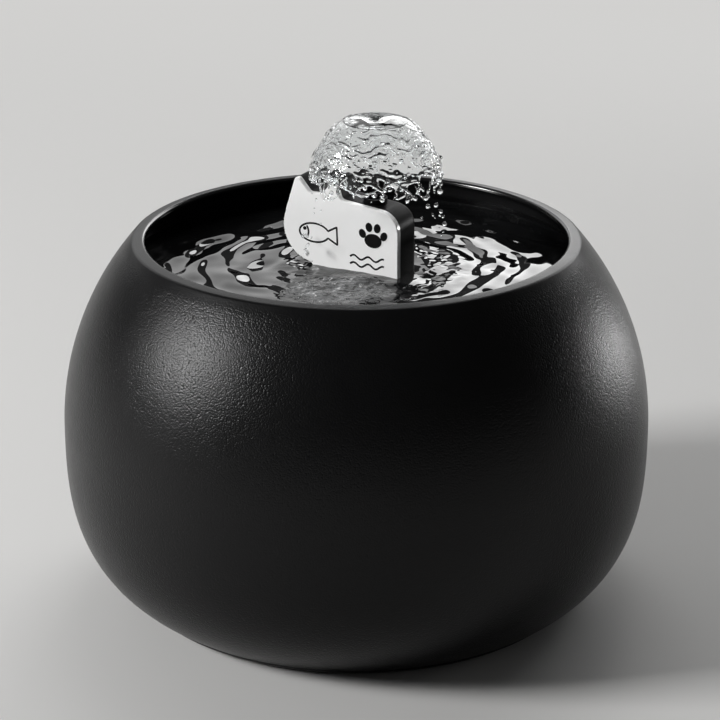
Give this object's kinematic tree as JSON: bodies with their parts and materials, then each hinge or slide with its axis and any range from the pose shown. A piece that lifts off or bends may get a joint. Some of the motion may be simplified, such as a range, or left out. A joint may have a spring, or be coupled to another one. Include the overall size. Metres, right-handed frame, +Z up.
{
  "type": "pet water fountain",
  "caption": "Round bowl fountain for pets: a black stoneware bowl over a wireless power base, with a lift-out filter and pump module and a cat-shaped spout that throws a water bell.",
  "frame": {"origin": "on the table, under the middle of the bowl", "axes": "+Z up through the bowl's mouth; -Y towards the front, where the cat's white face looks (28 degrees towards -X); +Y towards the lead's notch at the rear"},
  "size_m": [0.22, 0.22, 0.1861],
  "materials": {
    "bowl_glaze": "matte black glaze with a fine pebbled grain",
    "soft_black": "matte silicone",
    "shell_black": "fine moulded texture",
    "shell_grey": "smooth moulded, satin",
    "copper_wire": "enamelled copper wire",
    "dark_ferrite": "pressed ferrite",
    "circuit_board": "solder mask",
    "bright_steel": "brushed",
    "white_ceramic": "ground ceramic",
    "white_plastic": "moulded acetal",
    "plate_white": "satin white with printed line drawing",
    "cat_black": "satin black",
    "clear_silicone": "translucent silicone",
    "filter_foam": "open-cell foam",
    "filter_fleece": "non-woven fleece",
    "clear_water": "moving water"
  },
  "bodies": {
    "power_base": {"base_lower_shell": "shell_black", "base_upper_shell": "shell_black", "transmitter_coil": "copper_wire", "transmitter_ferrite": "dark_ferrite", "driver_board": "circuit_board", "usb_inlet": "bright_steel", "base_screws": "bright_steel", "base_feet": "soft_black"},
    "bowl": {"bowl": "bowl_glaze", "bowl_foot_ring": "soft_black"},
    "pump_module": {"filter_cage": "shell_grey", "module_feet": "soft_black", "receiver_tray": "shell_grey", "receiver_cover": "shell_grey", "receiver_seal": "soft_black", "receiver_coil": "copper_wire", "receiver_ferrite": "dark_ferrite", "receiver_board": "circuit_board", "motor_pins": "bright_steel", "pump_housing": "shell_black", "stator_core": "bright_steel", "stator_windings": "copper_wire", "motor_end_cap": "shell_black", "rotor_shaft": "white_ceramic", "shaft_bushes": "soft_black", "volute_cover": "shell_black", "volute_seal": "soft_black", "prefilter_sponge": "filter_foam", "riser_tube": "clear_silicone"},
    "rotor": {"impeller": "white_plastic", "rotor_magnet": "dark_ferrite"},
    "flow_dial": {"flow_dial": "white_plastic"},
    "filter_lid": {"cage_lid": "shell_grey", "cartridge_frame": "shell_black", "filter_media": "filter_fleece", "collar_seal": "soft_black"},
    "spout": {"cat_body": "cat_black", "cat_face_plate": "plate_white", "nozzle_insert": "cat_black", "water_bell": "clear_water"}
  },
  "joints": [
    {"name": "bowl_lift", "type": "slide", "parent": "power_base", "child": "bowl", "axis": [0, 0, 1], "range_m": [0, 0.06]},
    {"name": "module_lift", "type": "slide", "parent": "bowl", "child": "pump_module", "axis": [0, 0, 1], "range_m": [0, 0.13]},
    {"name": "lid_lift", "type": "slide", "parent": "pump_module", "child": "filter_lid", "axis": [0, 0, 1], "range_m": [0, 0.075]},
    {"name": "spout_lift", "type": "slide", "parent": "filter_lid", "child": "spout", "axis": [0, 0, 1], "range_m": [0, 0.03], "deforming": ["water_bell"]},
    {"name": "impeller_spin", "type": "hinge", "parent": "pump_module", "child": "rotor", "pos_m": [0, 0, 0.052], "axis": [0, 1, 0], "continuous": true},
    {"name": "flow_dial_turn", "type": "hinge", "parent": "pump_module", "child": "flow_dial", "pos_m": [0, -0.0079, 0.052], "axis": [0, 1, 0], "range_deg": [0, 30]}
  ]
}
